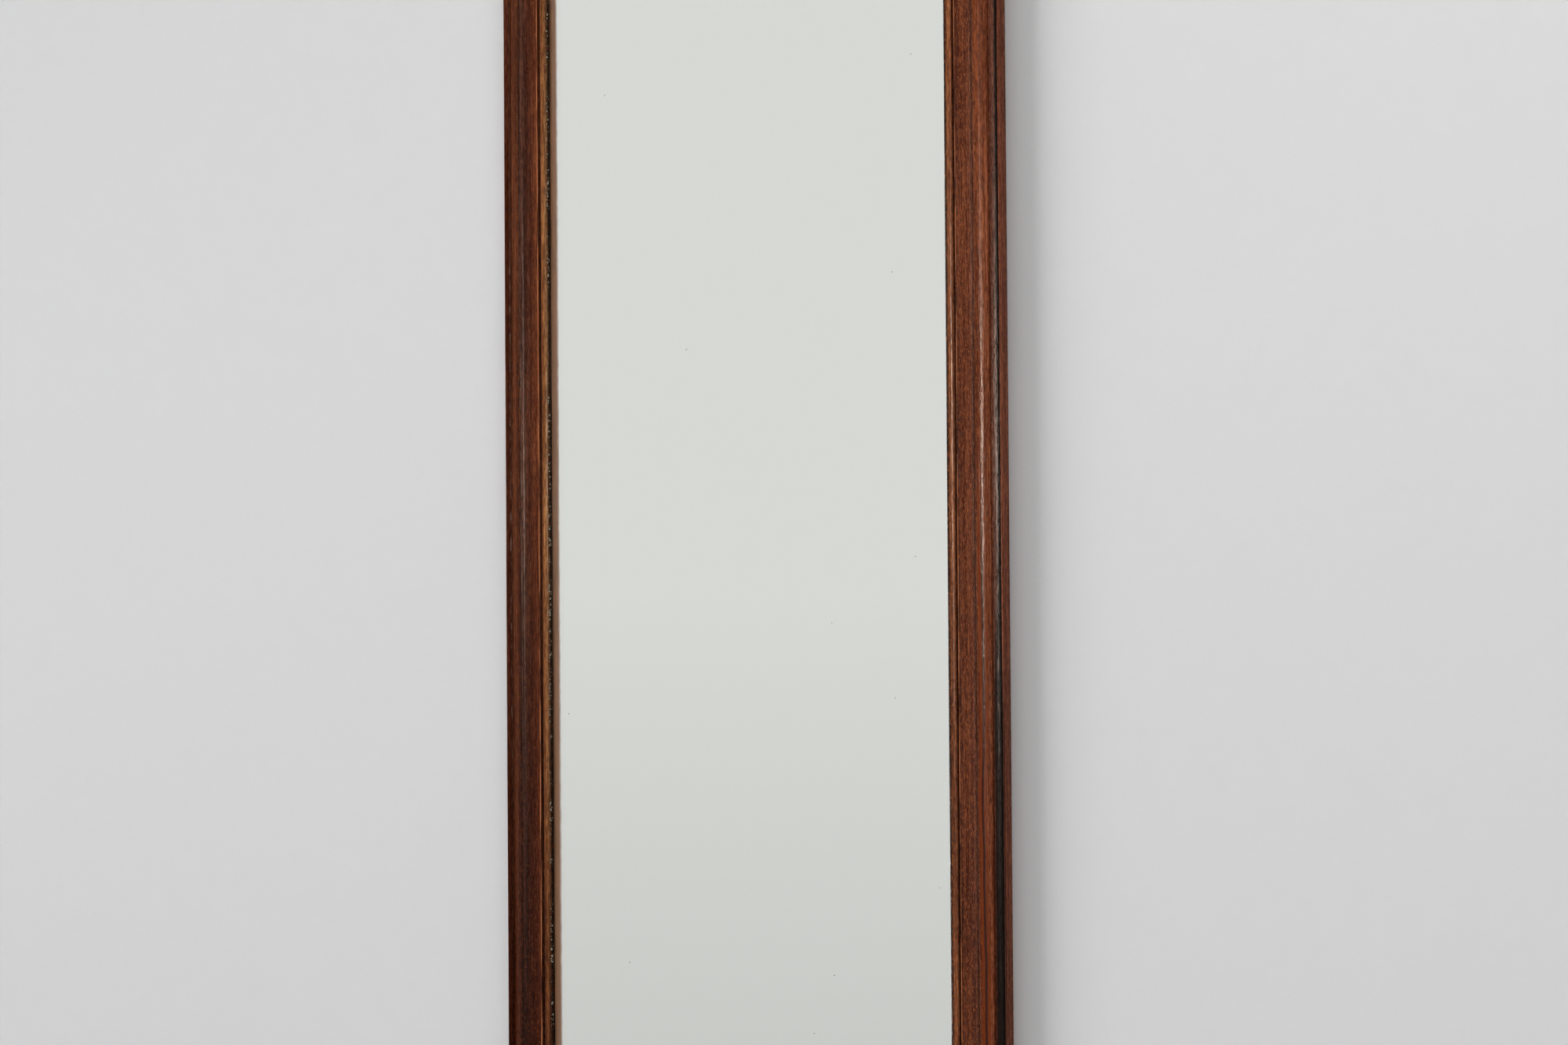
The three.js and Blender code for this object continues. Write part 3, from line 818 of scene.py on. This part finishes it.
rusty, tree, shader = material("rusty_nail_steel")
rust = noise(tree, on_object(tree), 700.0, 4.0)
eaten = between(tree, rust, 0.42, 0.60)
shade = tint(tree, eaten, colour(104, 98, 92), colour(96, 52, 28))
tree.links.new(shade, shader.inputs["Base Color"])
tree.links.new(between(tree, rust, 0.42, 0.60, 0.75, 0.1), shader.inputs["Metallic"])
tree.links.new(between(tree, rust, 0.40, 0.62, 0.42, 0.85), shader.inputs["Roughness"])
relief_on(tree, shader, rust, 0.6, 0.0001)


def spots_at(nodes, short):
    """An object with one point at each CAD node's middle, that much short of its back."""
    spots = []
    for node in nodes:
        low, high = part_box(node)
        spots.append(((low.x + high.x) / 2, high.y - short, (low.z + high.z) / 2))
    made = bpy.data.meshes.new("spots")
    made.from_pydata(spots, [], [])
    return put("spots", made)


nails = [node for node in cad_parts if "_nail_" in node]
driven = grown(driver, spots_at(nails, 0.00001), "backboard_nails", {"Finish": rusty})
plain(driven, *nails, slot="nail_steel", smooth=50)


# ---------------------------------------------------------------- the wall plates
# Four brass plates let into the rails' backs, stamped from sheet, each with a round ear and a hole
# for a wall screw. The brass is brushed, browned in patches and bright between them.

brass, tree, shader = material("dull_brushed_brass")
place = on_object(tree)
brushed = grain(tree, place, 0.00025, 0.02, shift=1.1)
tarnish = noise(tree, place, 75.0, 5.0)
browned = between(tree, tarnish, 0.40, 0.62)
shade = tint(tree, browned, colour(196, 160, 92), colour(122, 92, 50))
spotted = times(tree, between(tree, tarnish, 0.62, 0.72), 0.8)
shade = tint(tree, spotted, shade, colour(66, 52, 36))
tree.links.new(shade, shader.inputs["Base Color"])
tree.links.new(between(tree, tarnish, 0.50, 0.72, 0.95, 0.5), shader.inputs["Metallic"])
rough = between(tree, tarnish, 0.40, 0.70, 0.22, 0.5)
rough = sums(tree, "MULTIPLY_ADD", brushed, 0.2, rough)
tree.links.new(rough, shader.inputs["Roughness"])
relief_on(tree, shader, brushed, 0.35, 0.0001)
for corner in CORNERS:
    dressed("wall_plate_" + corner, 0.0002, brass, "brass")


# ---------------------------------------------------------------- the wall plates' screws
# Two countersunk wood screws in each plate: slotted heads, each left at its own angle, a turned
# shank and a spiral thread that fades to the point.

turner, given = tree_with(
    "wood_screws",
    (
        ("Spots", "Geometry", None),
        ("Head Radius", "Float", 0.00278),
        ("Head Depth", "Float", 0.0014),
        ("Core Radius", "Float", 0.00105),
        ("Length", "Float", 0.0089),
        ("Slot Width", "Float", 0.0008),
        ("Seed", "Int", 11),
        ("Finish", "Material", None),
    ),
    "Screws",
)
CUT_LENGTH, CUT_DEPTH, OVERLAP, TIP, TIP_RADIUS = 0.008, 0.0014, 0.0001, 0.0022, 0.0001
TURNS, THREAD_END, THREAD_HEIGHT, THREAD_START, WIRE = 5.5, 0.0006, 0.0064, 0.0021, 0.00028
HALF_TURN = 3.14
core_radius = given["Core Radius"]
head = barrel(turner, 32, given["Head Radius"], core_radius, given["Head Depth"], 0.0)
inputs = {0: CUT_LENGTH, 1: given["Slot Width"], 2: CUT_DEPTH}
cut_size = lay(turner, "ShaderNodeCombineXYZ", inputs).outputs[0]
cutter = lay(turner, "GeometryNodeMeshCube", {"Size": cut_size}).outputs["Mesh"]
inputs = {"Mesh 1": head, "Mesh 2": cutter}
cut = lay(turner, "GeometryNodeMeshBoolean", inputs, operation="DIFFERENCE", solver="EXACT")
core_start = less(turner, given["Head Depth"], OVERLAP)
core_length = less(turner, less(turner, given["Length"], core_start), TIP)
core = barrel(turner, 16, core_radius, core_radius, core_length, core_start)
core_end = sums(turner, "ADD", core_start, core_length)
tip = barrel(turner, 16, core_radius, TIP_RADIUS, TIP, core_end)
inputs = {
    "Resolution": 16,
    "Rotations": TURNS,
    "Start Radius": core_radius,
    "End Radius": THREAD_END,
    "Height": THREAD_HEIGHT,
}
spiral = lay(turner, "GeometryNodeCurveSpiral", inputs).outputs[0]
inputs = {"Geometry": spiral, "Translation": (0.0, 0.0, THREAD_START)}
raised = lay(turner, "GeometryNodeTransform", inputs).outputs[0]
wire = lay(turner, "GeometryNodeCurvePrimitiveCircle", {"Resolution": 4, "Radius": WIRE})
inputs = {"Curve": raised, "Profile Curve": wire.outputs["Curve"], "Fill Caps": True}
thread = lay(turner, "GeometryNodeCurveToMesh", inputs).outputs[0]
drive(turner, given, (cut.outputs[0], core, tip, thread), HALF_TURN, "Screws")

screw_steel, tree, shader = material("dull_screw_steel")
rust = noise(tree, on_object(tree), 520.0, 4.0)
shade = tint(tree, between(tree, rust, 0.52, 0.66), colour(150, 146, 138), colour(98, 66, 42))
tree.links.new(shade, shader.inputs["Base Color"])
tree.links.new(between(tree, rust, 0.54, 0.68, 0.95, 0.35), shader.inputs["Metallic"])
tree.links.new(between(tree, rust, 0.40, 0.64, 0.30, 0.62), shader.inputs["Roughness"])
relief_on(tree, shader, rust, 0.4, 0.0001)

screws = [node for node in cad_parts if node.startswith("wall_plate_screw_")]
driven = grown(turner, spots_at(screws, 0.00002), "wall_plate_screws", {"Finish": screw_steel})
plain(driven, *screws, slot="screw_steel", smooth=40)


# ---------------------------------------------------------------- the studio
# A pale matt wall that the mirror hangs on and a pale floor below it, in an even pale room. A broad
# lamp shines from the upper left and a narrow one from the lower left. Two small lamps on the right
# soften the shade and catch the polish.

wall_paint, tree, shader = material("matt_wall")
shader.inputs["Base Color"].default_value = colour(215, 215, 215)
shader.inputs["Roughness"].default_value = 0.9
shader.inputs["Specular IOR Level"].default_value = 0.0
relief_on(tree, shader, noise(tree, on_object(tree), 420.0, 2.0), 0.25, 0.0004)
# The wall and the floor are seen from their fronts only, so that the mirror's back can be seen.
hidden = tree.nodes.new("ShaderNodeBsdfTransparent")
behind = tree.nodes.new("ShaderNodeNewGeometry").outputs["Backfacing"]
seen = lay(tree, "ShaderNodeMixShader", {0: behind, 1: shader.outputs[0], 2: hidden.outputs[0]})
tree.links.new(seen.outputs[0], tree.nodes["Material Output"].inputs["Surface"])


def sheet_of(name, corners):
    """A flat sheet of the studio."""
    made = bpy.data.meshes.new(name)
    made.from_pydata(corners, [], [(0, 1, 2, 3)])
    made.materials.append(wall_paint)
    piece = put(name, made)
    return piece


SIDE, WALL, FLOOR, CEILING, NEAR, FAR = 6, 0.0008, -2, 4, -7, 5
upright = [(-SIDE, WALL, FLOOR), (SIDE, WALL, FLOOR), (SIDE, WALL, CEILING), (-SIDE, WALL, CEILING)]
wall = sheet_of("wall", upright)
wall.visible_diffuse = wall.visible_glossy = False
wall.visible_transmission = wall.visible_shadow = False
flat = [(-SIDE, NEAR, FLOOR), (SIDE, NEAR, FLOOR), (SIDE, FAR, FLOOR), (-SIDE, FAR, FLOOR)]
sheet_of("floor", flat)

world = bpy.data.worlds.new("pale_room")
bpy.context.scene.world = world
world.use_nodes = True
tree = world.node_tree
tree.nodes.clear()
side, back, up = apart(tree, lay(tree, "ShaderNodeTexCoord").outputs["Generated"])
ray = tree.nodes.new("ShaderNodeLightPath").outputs
WHITE = (1.0, 1.0, 1.0, 1)
FLOOR_LEVEL, ROOM_LEVEL, SHADE_SHARE = 0.60, 0.745, 0.35
LEFT_LIGHT, RIGHT_LIGHT = 0.66, 0.42
level = between(tree, up, -0.10, 0.02, FLOOR_LEVEL, ROOM_LEVEL, "LINEAR")
# What shines back from the side of the wall is dim, since the wall lies in the frame's shade there.
wallward = times(tree, between(tree, back, -0.02, 0.10), ray["Is Glossy Ray"])
level = times(tree, level, between(tree, wallward, 0.0, 1.0, 1.0, SHADE_SHARE))
shown = lay(tree, "ShaderNodeBackground", {"Color": WHITE, "Strength": level})
level = between(tree, side, -0.8, 0.8, LEFT_LIGHT, RIGHT_LIGHT, "LINEAR")
lighting = lay(tree, "ShaderNodeBackground", {"Color": WHITE, "Strength": level})
mirrored = sums(tree, "MAXIMUM", ray["Is Glossy Ray"], ray["Is Transmission Ray"])
mirrored = sums(tree, "MAXIMUM", ray["Is Camera Ray"], mirrored)
inputs = {0: mirrored, 1: lighting.outputs[0], 2: shown.outputs[0]}
even = lay(tree, "ShaderNodeMixShader", inputs)
lay(tree, "ShaderNodeOutputWorld", {"Surface": even.outputs[0]})


def soft_lamp(name, place, aim, size, power, spread=180, shines=False):
    """A rectangular lamp at a place, aimed at another, that the camera doesn't see."""
    lamp = bpy.data.lights.new(name, "AREA")
    lamp.shape, lamp.size, lamp.size_y, lamp.energy = "RECTANGLE", *size, power
    lamp.spread = math.radians(spread)
    found = put(name, lamp)
    found.location = place
    found.rotation_euler = (Vector(aim) - Vector(place)).to_track_quat("-Z", "Y").to_euler()
    found.visible_camera, found.visible_glossy = False, shines
    return found


high_left = bpy.data.lights.new("high_left", "SUN")
high_left.energy, high_left.angle = 1.85, math.radians(22)
sky = put("high_left", high_left)
sky.rotation_euler = Vector((0.85, 0.34, -0.40)).to_track_quat("-Z", "Y").to_euler()
sky.visible_glossy = False
soft_lamp("low_left", (-7.2, -2.6, -2.9), (0.2, 0, -1.75), (3.0, 3.0), power=39, spread=26)
soft_lamp("high_right", (1.3, -1.2, 0.7), (0.2, 0, -0.7), (0.5, 0.5), power=7)
by_camera = (2.47, -4.0, -0.54)
gleam = soft_lamp("by_the_camera", by_camera, (0.2, 0, -0.8), (0.2, 0.3), power=190, shines=True)
gleam.visible_diffuse = False
gleam.data.color = (1.0, 0.82, 0.68)

# The camera stands to the right of the mirror and sees the middle of it.
THETA, DISTANCE, PITCH, ROLL = math.radians(29.2), 3.939, math.radians(2.0), math.radians(-0.40)
FOCAL_PIXELS, SHIFT_PIXELS, PHOTO_PIXELS, SENSOR = 6474, 36.8, 2000, 36
camera = put("camera", bpy.data.cameras.new("camera"))
bpy.context.scene.camera = camera
aimed = (top + foot) / 2
camera.location = (
    DISTANCE * math.sin(THETA),
    -DISTANCE * math.cos(THETA),
    aimed - DISTANCE * math.tan(PITCH),
)
camera.rotation_mode = "XYZ"
turned = Matrix.Rotation(THETA, 4, "Z") @ Matrix.Rotation(math.pi / 2 + PITCH, 4, "X")
camera.rotation_euler = (turned @ Matrix.Rotation(ROLL, 4, "Z")).to_euler("XYZ")
camera.data.lens = FOCAL_PIXELS * SENSOR / PHOTO_PIXELS
camera.data.sensor_width = SENSOR
camera.data.shift_x = SHIFT_PIXELS / PHOTO_PIXELS
camera.data.clip_start, camera.data.clip_end = 0.05, 50
bpy.context.scene.view_settings.view_transform = "Standard"
